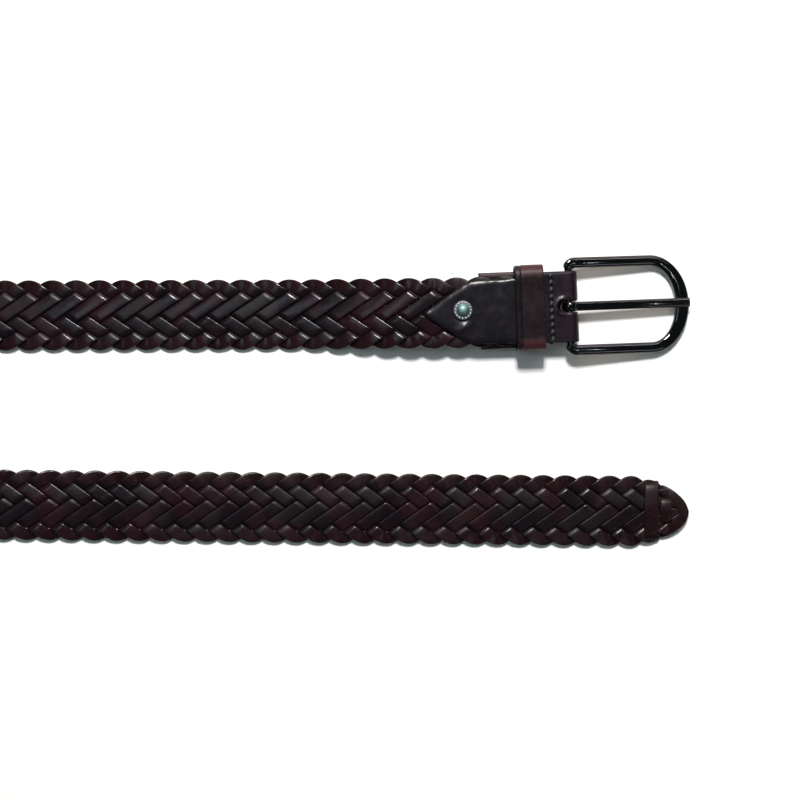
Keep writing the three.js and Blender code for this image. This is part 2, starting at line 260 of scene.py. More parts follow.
# %% How the strap lies
STRAP_WIDTH = 35.0
STRAP_THICKNESS = 4.0
STRAP_LENGTH = 1076.0
PITCH_AT_BUCKLE = 12.0
PITCH_AT_TIP = 11.0
SETBACK = 8.0
STRAP_SHIFT = 0.85
HEAD_STRAIGHT = 37.0
HEADING_EASE = 30.0
HEAD_HEADING, RUN_HEADING, RETURN_HEADING = math.degrees(HEAD_TURN), 0.2, -0.58
BEND_START = 431.6
BEND_RADIUS = 46.1
TWIST_LENGTH = 157.0
LEVEL_LENGTH = 64.0
DESCENT_LENGTH = 70.0
BEND_TURN = math.radians(180 + RETURN_HEADING - RUN_HEADING)
BEND_LENGTH = BEND_RADIUS * BEND_TURN
STRETCHES = [
    (HEAD_STRAIGHT, 0.0),
    (HEADING_EASE, math.radians(RUN_HEADING - HEAD_HEADING)),
    (BEND_START - HEAD_STRAIGHT - HEADING_EASE, 0.0),
    (BEND_LENGTH, BEND_TURN),
    (STRAP_LENGTH, 0.0),
]


def smooth(share):
    share = min(1.0, max(0.0, share))
    return share * share * (3 - 2 * share)


def plan_at(station):
    """Place and heading of the strap's middle line, in mm from the middle of the buckle's bar."""
    heading = math.pi + math.radians(HEAD_HEADING)
    x = SETBACK * math.cos(heading) - STRAP_SHIFT * math.sin(heading)
    y = SETBACK * math.sin(heading) + STRAP_SHIFT * math.cos(heading)
    for length, turn in STRETCHES:
        step = min(station, length)
        if turn:
            radius = length / turn
            turned = step / radius
            x += radius * (math.sin(heading + turned) - math.sin(heading))
            y += radius * (math.cos(heading) - math.cos(heading + turned))
            heading += turned
        else:
            x += step * math.cos(heading)
            y += step * math.sin(heading)
        station -= step
        if station <= 0:
            break
    return x, y, heading


def strap_frame(station):
    """Middle of the strap in metres, and its directions across and out of the front face."""
    x, y, heading = plan_at(station)
    onto = smooth((station - BEND_START + TWIST_LENGTH) / TWIST_LENGTH)
    off = smooth((BEND_START + BEND_LENGTH + TWIST_LENGTH - station) / TWIST_LENGTH)
    twist = math.pi / 2 * onto * off
    side = Vector((math.sin(heading), -math.cos(heading), 0))
    up = Vector((0, 0, 1))
    front = up * math.cos(twist) + side * math.sin(twist)
    across = side * math.cos(twist) - up * math.sin(twist)
    lift = (bar_middle.z / MM - STRAP_THICKNESS / 2) * (1 - smooth((station - LEVEL_LENGTH) / DESCENT_LENGTH))
    resting = STRAP_WIDTH / 2 * math.sin(twist) + STRAP_THICKNESS / 2 * math.cos(twist)
    middle = Vector((bar_middle.x, bar_middle.y, 0)) + Vector((x, y, resting + lift)) * MM
    return middle, across, front


PATH_STEP = 2.0


def make_path():
    """The middle line as a chain of points that carry their directions."""
    count = int(STRAP_LENGTH / PATH_STEP) + 3
    frames = [strap_frame(index * PATH_STEP) for index in range(count)]
    mesh = bpy.data.meshes.new("strap_path")
    mesh.from_pydata([f[0] for f in frames], [(i, i + 1) for i in range(count - 1)], [])
    for name, column in (("across", 1), ("front", 2)):
        layer = mesh.attributes.new(name, "FLOAT_VECTOR", "POINT")
        layer.data.foreach_set("vector", np.array([f[column] for f in frames], dtype=np.float32).ravel())
    path = bpy.data.objects.new("strap_path", mesh)
    bpy.context.scene.collection.objects.link(path)
    print("path points:", count, "length in mm:", STRAP_LENGTH)
    return path


strap_path = make_path()

# %% [markdown]
# ## Eight laces from one rule
# In a flat braid each lace runs slantwise from one edge to the other, turns there and comes back. On
# its way it crosses the seven others, and it lies over or under them by one fixed list: over one,
# under three, over two, under one. A geometry tree can hold that rule. It bends a plain grid into one
# lace, and the number of the lace is an input, so the same tree makes all eight.

# %% The braid's own sizes
LACES = 8
EDGE_OVERHANG = 1.7
LACE_WIDTH = 6.35
LACE_THICKNESS = 1.9
LACE_RISE = 0.98
TURN_ROUNDING = 0.72
SQUARENESS = 0.36
TURN_RISE = 0.9
SHINGLE = 0.06
DIVE = 0.52
ROW_SPACING = (STRAP_WIDTH - 2 * EDGE_OVERHANG) / LACES
TIP_TAPER = 30.0
TIP_ROUND = 0.79
NOSE = 1.2
PITCH_RATE = (PITCH_AT_TIP - PITCH_AT_BUCKLE) / STRAP_LENGTH
PITCHES = math.log(1 + (STRAP_LENGTH - NOSE) * PITCH_RATE / PITCH_AT_BUCKLE) / PITCH_RATE
STEPS_PER_PITCH = 14
SECTION_POINTS = 16


def sample_path(tree, geometry, attribute, station):
    """The path's vector at a station, read from the two points on either side of it."""
    if attribute == "position":
        source = add_node(tree, "GeometryNodeInputPosition").outputs[0]
    else:
        named = add_node(tree, "GeometryNodeInputNamedAttribute", {"Name": attribute}, data_type="FLOAT_VECTOR")
        source = named.outputs["Attribute"]
    place = station / PATH_STEP
    first = calculate("FLOOR", place)
    ends = []
    for index in (first, first + 1.0):
        inputs = {"Geometry": geometry, "Value": Field(tree, source), "Index": index}
        node = add_node(tree, "GeometryNodeSampleIndex", inputs, data_type="FLOAT_VECTOR", clamp=True)
        ends.append(Field(tree, node.outputs["Value"]))
    step = combine("SUBTRACT", ends[1], ends[0])
    return combine("ADD", ends[0], combine("SCALE", step, place - first))


def lace_tree():
    tree, given = start_tree("braided_lace", {
        "Lace": "Float", "Width": "Float", "Thickness": "Float", "Path": "Object", "Leather": "Material",
    })
    lace, width, thickness = given["Lace"], given["Width"], given["Thickness"]
    path = add_node(tree, "GeometryNodeObjectInfo", {"Object": given["Path"]})
    path_geometry = Field(tree, path.outputs["Geometry"])

    rows = int(PITCHES * STEPS_PER_PITCH)
    grid = add_node(tree, "GeometryNodeMeshGrid", {"Vertices X": rows, "Vertices Y": SECTION_POINTS + 1})
    place = add_node(tree, "GeometryNodeInputPosition")
    split = add_node(tree, "ShaderNodeSeparateXYZ", {0: Field(tree, place.outputs[0])})
    along = Field(tree, split.outputs["X"]) + 0.5
    round_section = (Field(tree, split.outputs["Y"]) + 0.5) * (2 * math.pi)

    # Plan of the lace: a zigzag with round turns, counted in pitches along and rows down
    pitches = along * PITCHES
    phase = calculate("FLOORED_MODULO", (pitches + lace) * -2.0, 2.0 * LACES)
    falling = calculate("LESS_THAN", phase, float(LACES))
    direction = falling * 2.0 - 1.0
    sharp = LACES - abs(phase - LACES)
    near_top = larger(TURN_ROUNDING - sharp, 0.0)
    near_bottom = larger(TURN_ROUNDING - (LACES - sharp), 0.0)
    down = sharp + (near_top * near_top - near_bottom * near_bottom) / (2 * TURN_ROUNDING)
    slope = direction * (1.0 - (near_top + near_bottom) / TURN_ROUNDING)
    pitch = calculate("EXPONENT", pitches * PITCH_RATE) * PITCH_AT_BUCKLE

    # Section of the lace: a flat strip with round edges, closed to a point at both ends
    cosine = calculate("COSINE", round_section)
    sine = calculate("SINE", round_section)
    open_end = smaller(smaller(along, 1.0 - along) * float(rows - 1), 1.0)
    sideways = calculate("SIGN", cosine) * abs(cosine) ** SQUARENESS * width * 0.5 * open_end
    outwards = calculate("SIGN", sine) * abs(sine) ** SQUARENESS * thickness * 0.5 * open_end
    outwards = outwards - slope * sideways * SHINGLE
    run_x = pitch * 0.5
    run_down = slope * ROW_SPACING
    run = calculate("SQRT", run_x * run_x + run_down * run_down)
    x = -pitches - sideways * run_down / run / pitch
    depth = down * ROW_SPACING + sideways * run_x / run

    # Over or under, from the row that each point of the lace lies in
    half_row = depth / (2 * ROW_SPACING)
    row_falling = (x + half_row) - (-pitches - phase / 2.0)
    row_rising = (-pitches + (2.0 * LACES - phase) / 2.0) - (x - half_row)
    row = row_falling * falling + row_rising * (1.0 - falling)
    over = 1.0
    for sign, border in ((-2.0, 1.5), (2.0, 4.5), (-2.0, 6.5)):
        over = ramp(row, border - DIVE / 2, border + DIVE / 2) * sign + over
    turning = ramp(sharp, 0.0, TURN_RISE) * ramp(LACES - sharp, 0.0, TURN_RISE)
    height = direction * turning * over * LACE_RISE

    # Along, across and out of the strap
    station = (calculate("EXPONENT", x * -PITCH_RATE) - 1.0) * (PITCH_AT_BUCKLE / PITCH_RATE)
    to_tip = smaller(larger(STRAP_LENGTH - station, 0.0) / TIP_TAPER, 1.0)
    share = (1.0 - (1.0 - to_tip) ** 2.0) ** TIP_ROUND
    across = (STRAP_WIDTH / 2 - EDGE_OVERHANG - depth) * share
    middle = sample_path(tree, path_geometry, "position", station)
    across_way = sample_path(tree, path_geometry, "across", station)
    front_way = sample_path(tree, path_geometry, "front", station)
    offset = combine("ADD", combine("SCALE", across_way, across * MM),
                     combine("SCALE", front_way, (height + outwards) * MM))
    final = combine("ADD", middle, offset)

    # What the leather's finish wants to know about each point
    notes = add_node(tree, "ShaderNodeCombineXYZ", {0: station, 1: sideways, 2: height})
    noted = add_node(
        tree, "GeometryNodeStoreNamedAttribute",
        {"Geometry": Field(tree, grid.outputs["Mesh"]), "Name": "lace", "Value": Field(tree, notes.outputs[0])},
        data_type="FLOAT_VECTOR", domain="POINT",
    )
    more = add_node(tree, "ShaderNodeCombineXYZ", {0: outwards, 1: row, 2: lace})
    noted_more = add_node(
        tree, "GeometryNodeStoreNamedAttribute",
        {"Geometry": Field(tree, noted.outputs[0]), "Name": "place", "Value": Field(tree, more.outputs[0])},
        data_type="FLOAT_VECTOR", domain="POINT",
    )
    bent = add_node(tree, "GeometryNodeSetPosition",
                    {"Geometry": Field(tree, noted_more.outputs[0]), "Position": final})
    merged = add_node(tree, "GeometryNodeMergeByDistance",
                      {"Geometry": Field(tree, bent.outputs[0]), "Distance": 0.002 * MM})
    return finish_tree(tree, merged, given["Leather"])


# %% Helpers that turn rules into plain meshes
def baked(thing):
    """Replaces a piece's modifiers by their result."""
    bpy.context.view_layer.update()
    evaluated = thing.evaluated_get(bpy.context.evaluated_depsgraph_get())
    mesh = bpy.data.meshes.new_from_object(evaluated)
    thing.modifiers.clear()
    thing.data = mesh
    mesh.name = thing.name


def grown(name, tree, values):
    """Runs a geometry tree on an empty mesh and keeps the result as a plain mesh."""
    start = bpy.data.objects.new(name, bpy.data.meshes.new(name))
    bpy.context.scene.collection.objects.link(start)
    modifier = start.modifiers.new("nodes", "NODES")
    modifier.node_group = tree
    sockets = {item.name: item.identifier for item in tree.interface.items_tree if item.in_out == "INPUT"}
    for key, value in values.items():
        modifier[sockets[key]] = value
    baked(start)
    return start


def face_outwards(thing):
    """Merges doubles and turns every face outwards."""
    work = bmesh.new()
    work.from_mesh(thing.data)
    bmesh.ops.remove_doubles(work, verts=work.verts, dist=0.001 * MM)
    bmesh.ops.dissolve_degenerate(work, edges=work.edges, dist=0.0001 * MM)
    bmesh.ops.recalc_face_normals(work, faces=work.faces)
    work.to_mesh(thing.data)
    work.free()
    thing.data.polygons.foreach_set("use_smooth", [True] * len(thing.data.polygons))


def dress(thing, material, body, slot, *nodes):
    thing.data.materials.clear()
    thing.data.materials.append(material)
    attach(thing, body)
    if nodes:
        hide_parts(*nodes)


# %% [markdown]
# ## Leather
# The laces are dark burgundy leather, burnished nearly black. Rubbing brings the red back where they
# turn at the edges of the strap. The colour also holds painted light: a painted highlight makes the laces
# redder where they stand up, and painted shade darkens the dives between them. The grain is fine, so it
# is bump, and larger mottling varies the colour and the gloss.

# %% Helpers for materials
def new_material(name):
    material = bpy.data.materials.new(name)
    material.use_nodes = True
    tree = material.node_tree
    return material, tree, tree.nodes["Principled BSDF"]


def link(tree, value, shader, name):
    tree.links.new(value.socket, shader.inputs[name])


def noise_field(tree, where, scale, detail=3.0, roughness=0.5):
    inputs = {"Vector": where, "Scale": scale, "Detail": detail, "Roughness": roughness}
    node = add_node(tree, "ShaderNodeTexNoise", inputs)
    return Field(tree, node.outputs[0])


def blended(tree, share, first, second):
    """A colour between two colours or colour sockets."""
    node = tree.nodes.new("ShaderNodeMix")
    node.data_type = "RGBA"
    sockets = [socket for socket in node.inputs if socket.enabled]
    for key, value in (("Factor", share), ("A", first), ("B", second)):
        socket = next(socket for socket in sockets if socket.name == key)
        if isinstance(value, Field):
            tree.links.new(value.socket, socket)
        else:
            socket.default_value = (*value, 1.0)
    return Field(tree, next(s for s in node.outputs if s.enabled))


def attribute_parts(tree, name):
    node = add_node(tree, "ShaderNodeAttribute", attribute_name=name)
    split = add_node(tree, "ShaderNodeSeparateXYZ", {0: Field(tree, node.outputs["Vector"])})
    return [Field(tree, output) for output in split.outputs]


def object_place(tree):
    node = add_node(tree, "ShaderNodeTexCoord")
    return Field(tree, node.outputs["Object"])


def bump_from(tree, height, distance, strength=1.0):
    inputs = {"Height": height, "Distance": distance, "Strength": strength}
    node = add_node(tree, "ShaderNodeBump", inputs)
    return Field(tree, node.outputs[0])


# %% The laces' leather
# Colours: a painted shade for the dives, the leather's own body, and a red for wear and painted highlights
LACE_DIVE_SHADE = (0.0032, 0.0015, 0.0022)
LACE_BODY = (0.0062, 0.0038, 0.0056)
LACE_RED_WEAR_AND_GLINT = (0.030, 0.0074, 0.0105)


def lace_leather():
    material, tree, shader = new_material("lace_leather")
    where = object_place(tree)
    _, sideways, height = attribute_parts(tree, "lace")
    _, row, _ = attribute_parts(tree, "place")
    warmth = noise_field(tree, where, 55.0, 2.0, 0.5)
    patches = noise_field(tree, where, 420.0, 3.0, 0.6)
    # How far a lace stands up, which drives painted light: a redder painted highlight on raised parts and a darker
    # painted shade in the dives
    standing_painted_light = ramp(height, -LACE_RISE * 0.4, LACE_RISE)
    turn = ramp(abs(row - LACES / 2), 2.7, 3.7)
    # Red from wear at the turns and random warmth, raised by a painted highlight where the lace stands up
    red = larger(ramp(warmth, 0.44, 0.66) * 0.5, turn * 0.6) * (patches * 0.9 + 0.3) * (standing_painted_light * 0.6 + 0.4)
    # Painted shade: the colour darkens in the dives between the laces
    body = blended(tree, standing_painted_light * 0.9, LACE_DIVE_SHADE, LACE_BODY)
    colour = blended(tree, smaller(red, 1.0), body, LACE_RED_WEAR_AND_GLINT)
    link(tree, colour, shader, "Base Color")
    grain = noise_field(tree, where, 1500.0, 3.0, 0.6)
    dull = ramp(noise_field(tree, where, 36.0, 2.0, 0.5), 0.40, 0.60)
    link(tree, patches * 0.14 + grain * 0.06 + dull * 0.18 + 0.09, shader, "Roughness")
    pull = noise_field(tree, where, 260.0, 2.0, 0.5)
    link(tree, bump_from(tree, grain * 0.35 + pull, 0.12 * MM, 0.7), shader, "Normal")
    shader.inputs["Specular IOR Level"].default_value = 0.17
    return material


lace_finish = lace_leather()

# %% Plait the strap
lace_rule = lace_tree()
laces = []
for number in range(LACES):
    lace = grown(f"braid_lace_{number + 1}", lace_rule, {
        "Lace": float(number),
        "Width": LACE_WIDTH,
        "Thickness": LACE_THICKNESS,
        "Path": strap_path,
        "Leather": lace_finish,
    })
    face_outwards(lace)
    laces.append(lace)
bpy.data.objects.remove(strap_path)
for lace in laces:
    dress(lace, lace_finish, "belt", "lace_leather", "braided_strap")
print("laces:", len(laces), "triangles:", sum(2 * len(lace.data.polygons) for lace in laces))

# %% [markdown]
# ## The tip
# At the free end the eight laces are worked back into the braid. One of them turns round the nose, and
# two are wrapped straight across the strap to bind the others, a long one and a short one. Each of these
# is the same strip of leather as the laces, so one function sweeps the lace's section along a short
# smooth line that is given in millimetres from the tip, across the strap and out of it.

# %% A lace bent along a short line
BEND_STEPS = 8


def spline(stops, steps):
    """A smooth line through all the stops."""
    ends = [stops[0]] + list(stops) + [stops[-1]]
    line = []
    for before, start, end, after in zip(ends, ends[1:], ends[2:], ends[3:]):
        before, start, end, after = (np.array(stop, dtype=float) for stop in (before, start, end, after))
        for step in range(steps):
            t = step / steps
            line.append(0.5 * (2 * start + (end - before) * t + (2 * before - 5 * start + 4 * end - after) * t ** 2
                               + (3 * start - before - 3 * end + after) * t ** 3))
    line.append(np.array(stops[-1], dtype=float))
    return line


def superellipse(width, height, count, squareness):
    """A closed section with round corners, as pairs of sideways and outwards."""
    points = []
    for index in range(count):
        angle = 2 * math.pi * index / count
        cosine, sine = math.cos(angle), math.sin(angle)
        points.append((math.copysign(abs(cosine) ** squareness, cosine) * width / 2,
                       math.copysign(abs(sine) ** squareness, sine) * height / 2))
    return points


def tube(rings, closed=False):
    """Points and faces of a skin over rings of points; an open one is closed by a point at each end."""
    count = len(rings[0])
    points = [point for ring in rings for point in ring]
    faces = []
    for at in range(len(rings) if closed else len(rings) - 1):
        here, there = at * count, (at + 1) % len(rings) * count
        for side in range(count):
            after = (side + 1) % count
            faces.append((here + side, here + after, there + after, there + side))
    if not closed:
        for ring, start in ((rings[0], 0), (rings[-1], (len(rings) - 1) * count)):
            points.append(sum((Vector(point) for point in ring), Vector()) / count)
            faces += [(start + side, start + (side + 1) % count, len(points) - 1) for side in range(count)]
    return points, faces


def new_piece(name, points, faces, place=Matrix()):
    """A mesh from points in mm, put into its place with its own origin left at the world's."""
    mesh = bpy.data.meshes.new(name)
    mesh.from_pydata([place @ (Vector(point) * MM) for point in points], [], faces)
    thing = bpy.data.objects.new(name, mesh)
    bpy.context.scene.collection.objects.link(thing)
    face_outwards(thing)
    return thing


def bent_lace(name, width, stops):
    """A lace through stops of (mm from the tip, mm across, mm out, lean of the strip in degrees)."""
    rings = []
    line = spline(stops, BEND_STEPS)
    places = []
    for from_tip, across, out, _ in line:
        middle, across_way, front_way = strap_frame(STRAP_LENGTH - from_tip)
        places.append((middle + across_way * across * MM + front_way * out * MM) / MM)
    for at, place in enumerate(places):
        run = (places[min(at + 1, len(places) - 1)] - places[max(at - 1, 0)]).normalized()
        front = strap_frame(STRAP_LENGTH - line[at][0])[2]
        side = run.cross(front).normalized()
        lean = Matrix.Rotation(math.radians(line[at][3]), 3, run)
        side, out = lean @ side, lean @ side.cross(run)
        section = superellipse(width, LACE_THICKNESS, SECTION_POINTS, SQUARENESS)
        rings.append([place + side * sideways + out * outwards for sideways, outwards in section])
    points, faces = tube(rings)
    lace = new_piece(name, points, faces)
    dress(lace, lace_finish, "belt", "lace_leather", "braided_strap")
    return lace


bent_lace("tip_wrap", 7.2, [
    (19.0, -14.4, -0.9, 0), (19.0, -13.8, 0.1, 0), (19.0, -12.0, 1.5, 0), (19.2, -6.0, 2.2, 0),
    (19.2, 6.0, 2.2, 0), (19.0, 12.0, 1.5, 0), (19.0, 13.8, 0.1, 0), (19.0, 14.4, -0.9, 0),
])
bent_lace("tip_nose", 5.4, [
    (14.5, 10.6, -0.6, 0), (12.0, 9.6, 0.4, 0), (8.4, 7.6, 1.0, 0), (4.8, 4.4, 1.1, 0),
    (3.3, 0.4, 1.1, 0), (4.8, -3.6, 1.1, 0), (8.4, -7.2, 1.0, 0), (12.0, -9.6, 0.4, 0), (14.5, -10.6, -0.6, 0),
])
bent_lace("tip_band", 6.0, [
    (11.6, -6.6, 0.0, 0), (11.7, -4.6, 1.5, 0), (11.8, 0.0, 2.0, 0), (11.7, 4.6, 1.5, 0), (11.6, 6.6, 0.0, 0),
])
print("tip laces: 3")

# %% [markdown]
# ## The leather tab
# One strip of leather is folded round the buckle's bar. Its front flap ends in a point, its back flap
# is wider and square, and a round-ended slot lets the prong through the fold. A saddler cuts such a
# strip flat, so the mesh is laid out flat too: rows run across it and columns along it, they crowd
# together near every cut edge, and one function folds it. The thickness falls to nothing at the cut
# edges along a rounded curve, which gives the pressed and burnished edge that catches the light.

# %% The tab's sizes
HEAD = Matrix.Translation(bar_middle) @ Matrix.Rotation(HEAD_TURN, 4, "Z")
FOLD_INNER = 2.3
TAB_THICKNESS = 1.8
FOLD_MIDDLE = FOLD_INNER + TAB_THICKNESS / 2
FOLD_LENGTH = math.pi * FOLD_MIDDLE
TAB_LENGTH = 72.0
TAB_POINT = 22.6
TIP_BLUNTNESS = 1.5
SHOULDER_ROUND = 0.9
BACK_FLAP = 44.5
FRONT_SHIFT, BACK_SHIFT = 1.0, 0.4
FOLD_HALF, FRONT_HALF, BACK_HALF = 17.5, 16.0, 19.0
WAIST, SHOULDER = 12.0, 19.5
SLOT_HALF = 2.8
SLOT_CENTRE, BACK_SLOT_CENTRE = -3.0, -1.5
EDGE_ROUND = 1.3
ROLLED_EDGE = 3.2
EDGE_SQUARENESS = 2.3
EDGE_SHARES = (0.0, 0.04, 0.13, 0.3, 0.55, 1.0)
TAB_COLUMNS = 16
SNAP_DISTANCE = 53.0


def flap_share(along):
    """0 in the fold and its waist, 1 beyond the shoulder of a flap."""
    from_fold = -along if along < 0 else max(0.0, along - FOLD_LENGTH)
    return smooth((from_fold - WAIST) / (SHOULDER - WAIST))


def flat_half(along):
    """Half the strip's width at a place along it: 0 is the start of the fold, and the front is below."""
    if along > 0:
        return FOLD_HALF + (BACK_HALF - FOLD_HALF) * flap_share(along)
    side = FOLD_HALF + (FRONT_HALF - FOLD_HALF) * flap_share(along)
    from_tip = along + TAB_LENGTH
    slope = (FRONT_HALF - TIP_BLUNTNESS) / TAB_POINT
    pointed = math.sqrt((slope * from_tip) ** 2 + 2 * slope * TIP_BLUNTNESS * from_tip)
    return max(0.0, min(pointed, -SHOULDER_ROUND * math.log(
        math.exp(-side / SHOULDER_ROUND) + math.exp(-pointed / SHOULDER_ROUND))))


def folded(along, height):
    """The place of a point of the strip, as u towards the buckle and w out of the front."""
    if along < 0:
        return along, FOLD_MIDDLE + height
    if along > FOLD_LENGTH:
        return FOLD_LENGTH - along, -FOLD_MIDDLE - height
    angle = along / FOLD_MIDDLE
    return (FOLD_MIDDLE + height) * math.sin(angle), (FOLD_MIDDLE + height) * math.cos(angle)


def past_slot(along):
    """How far a place along the strip lies beyond the centre of the slot's round end."""
    if along < 0:
        return max(0.0, SLOT_CENTRE - along)
    return max(0.0, BACK_SLOT_CENTRE - min(0.0, FOLD_LENGTH - along))


def slot_edge(along):
    """Half the slot's width at a place along the strip."""
    past = past_slot(along)
    return math.sqrt(max(0.0, SLOT_HALF ** 2 - past ** 2))


def distances(along, across):
    """How far a point of the flat strip lies from the outer cut edge and from the slot."""
    step = 0.02
    start = max(-TAB_LENGTH, along - step)
    slope = (flat_half(along + step) - flat_half(start)) / (along + step - start)
    to_side = (flat_half(along) - abs(across)) / math.hypot(1.0, slope)
    to_end = min(along + TAB_LENGTH, FOLD_LENGTH + BACK_FLAP - along)
    return min(to_side, to_end), math.hypot(past_slot(along), across) - SLOT_HALF


# %% Rows and columns of the flat strip
def spaced(start, end, step):
    count = max(1, round(abs(end - start) / step))
    return [start + (end - start) * index / count for index in range(count)]


def tab_rows():
    edge = [share * EDGE_ROUND for share in EDGE_SHARES]
    slot_end = SLOT_CENTRE - SLOT_HALF
    rows = [-TAB_LENGTH + offset for offset in edge[:-1]]
    rows += spaced(-TAB_LENGTH + EDGE_ROUND, slot_end - EDGE_ROUND, 0.8)
    rows += [slot_end - offset for offset in reversed(edge[1:])]
    rows += [SLOT_CENTRE - SLOT_HALF * math.cos(math.radians(angle)) for angle in range(0, 91, 9)]
    rows += spaced(SLOT_CENTRE, 0.0, 0.8)[1:]
    fold = [FOLD_LENGTH * index / 16 for index in range(9)]
    front_half = rows + fold
    back = [FOLD_LENGTH - row for row in reversed(rows) if row > slot_end - 2 * EDGE_ROUND]
    end = FOLD_LENGTH + BACK_FLAP
    back += spaced(FOLD_LENGTH - slot_end + 2 * EDGE_ROUND, end - EDGE_ROUND, 1.6)
    back += [end - offset for offset in reversed(edge)]
    return front_half + [FOLD_LENGTH - row for row in reversed(fold[:-1])] + back


def tab_columns(along):
    """Places across one half, from the slot or the middle out to the cut edge."""
    inner, outer = slot_edge(along), flat_half(along)
    edge = [share * min(EDGE_ROUND, 0.4 * (outer - inner)) for share in EDGE_SHARES]
    first, last = inner + edge[-1], outer - edge[-1]
    middle = [first + (last - first) * column / TAB_COLUMNS for column in range(TAB_COLUMNS)]
    return [inner + offset for offset in edge[:-1]] + middle + [outer - offset for offset in reversed(edge)]


def rounding(distance):
    """The share of the full thickness at a distance from a cut edge."""
    inwards = min(1.0, max(0.0, distance / EDGE_ROUND))
    return (1 - (1 - inwards) ** EDGE_SQUARENESS) ** (1 / EDGE_SQUARENESS)


def tab_relief(along, across, to_edge, to_slot):
    """How far the face stands out or sinks in: wrinkles, a rolled edge, the slot's rim, dents by the snap."""
    if along > 0:
        return 0.0
    flap = ramp_number(-along, 27.0, 34.0)
    wrinkle = (noise.noise(Vector((along * 0.13, across * 0.035, 3.0)))
               + 0.4 * noise.noise(Vector((along * 0.3, across * 0.16, 9.0))))
    to_snap = math.hypot(along + SNAP_DISTANCE, across)
    hollow = 0.1 * math.exp(-(max(0.0, to_snap - 5.0) / 1.5) ** 2)
    rising = (along + SNAP_DISTANCE - 0.2 + across + 8.4) / math.sqrt(2)
    falling = (along + SNAP_DISTANCE - 0.2 - across - 8.4) / math.sqrt(2)
    blister = 0.6 * math.exp(-(rising / 3.0) ** 2 - (falling / 1.8) ** 2)
    roll = ROLLED_EDGE * (1 + 0.4 * noise.noise(Vector((along * 0.3, 0.0, 1.0))))
    rolled = 0.45 * max(0.0, 1 - to_edge / roll) ** 2 * flap
    rim = 0.5 * math.exp(-((to_slot - 1.15) / 0.75) ** 2) * ramp_number(-along, 1.5, 3.5)
    return 0.3 * flap * wrinkle - hollow + blister - rolled + rim


def ramp_number(value, low, high):
    return smooth((value - low) / (high - low))


# %% Fold the tab
def make_tab():
    rows = tab_rows()
    points, faces = [], []
    for side in (1, -1):
        for mirror in (1, -1):
            start = len(points)
            for along in rows:
                columns = tab_columns(along)
                shift = (FRONT_SHIFT if along < 0 else BACK_SHIFT) * flap_share(along)
                for across in columns:
                    v = across * mirror - shift
                    to_edge, to_slot = distances(along, across)
                    half = TAB_THICKNESS / 2 * rounding(min(to_edge, to_slot))
                    relief = tab_relief(along, v, to_edge, to_slot) * rounding(to_slot)
                    height = side * half + (relief if side > 0 else max(0.0, relief))
                    u, w = folded(along, height)
                    points.append((u, v, w))
            count = len(columns)
            for row in range(len(rows) - 1):
                for column in range(count - 1):
                    a = start + row * count + column
                    faces.append((a, a + 1, a + count + 1, a + count))
    return new_piece("folded_tab", points, faces, HEAD)


tab = make_tab()
print("tab faces:", len(tab.data.polygons))

# %% [markdown]
# The finish of the tab needs to know where on the head a point lies, so each piece of the head keeps
# that place as an attribute, in millimetres from the middle of the bar.

# %% Smooth near-black leather
LEATHER_DARK = (0.0035, 0.0028, 0.0045)
LEATHER_BODY = (0.0085, 0.0065, 0.0115)
LEATHER_RED = (0.050, 0.013, 0.018)


def note_head_place(thing):
    back = HEAD.inverted()
    places = np.array([back @ vertex.co / MM for vertex in thing.data.vertices], dtype=np.float32)
    layer = thing.data.attributes.new("head", "FLOAT_VECTOR", "POINT")
    layer.data.foreach_set("vector", places.ravel())


STITCHES = 10
STITCH_PITCH = 3.5
STITCH_ROW = -9.3


def tab_leather():
    material, tree, shader = new_material("tab_leather")
    where = object_place(tree)
    u, v, w = attribute_parts(tree, "head")
    clouds = noise_field(tree, where, 70.0, 3.0, 0.5)
    scuffs = noise_field(tree, where, 300.0, 4.0, 0.65)
    grain = noise_field(tree, where, 2400.0, 2.0, 0.5)
    back_edge = ramp(w, -1.0, -2.0) * ramp(abs(v), 16.2, 17.2)
    fold = ramp(u, -6.0, -1.0) * 0.12
    red = larger(back_edge * 0.7, fold) * (clouds * 0.6 + 0.5)
    body = blended(tree, clouds, LEATHER_DARK, LEATHER_BODY)
    colour = blended(tree, red, body, LEATHER_RED)
    waist_edge = ramp(u, -19.0, -16.0) * ramp(abs(v), 16.0, 16.9)
    slot_wall = ramp(w, 0.5, -0.5) * ramp(abs(v), 4.0, 3.0)
    worn = back_edge * 0.2 + waist_edge * 0.4 + slot_wall * 0.5
    link(tree, scuffs * 0.20 + clouds * 0.10 + worn + 0.10, shader, "Roughness")

    # The pricked holes of the stitches, as dents, with painted shade that darkens them to near black
    turns = v / STITCH_PITCH + STITCHES / 2
    to_hole = (turns - calculate("ROUND", turns)) * STITCH_PITCH
    off_row = u - STITCH_ROW
    hole_dent_and_shade = ramp(calculate("SQRT", to_hole * to_hole + off_row * off_row), 1.3, 0.6)
    hole_dent_and_shade = hole_dent_and_shade * ramp(abs(v), 17.0, 16.0)
    # Painted shade: the colour inside the holes is blended to near black
    link(tree, blended(tree, hole_dent_and_shade * 0.85, colour, (0.0008, 0.0006, 0.0009)), shader, "Base Color")
    height = grain * 0.06 + scuffs * 0.10 - hole_dent_and_shade * 1.6
    link(tree, bump_from(tree, height, 0.3 * MM, 0.8), shader, "Normal")
    shader.inputs["Specular IOR Level"].default_value = 0.24
    return material


note_head_place(tab)
dress(tab, tab_leather(), "belt", "tab_leather", "buckle_tab")

# %% [markdown]
# ## The stitches
# A row of thick waxed thread closes the fold behind the bar, and it shows on both flaps. Equal things
# in an even row are a rule, so a geometry tree sets one long bead of thread on each point of a line.

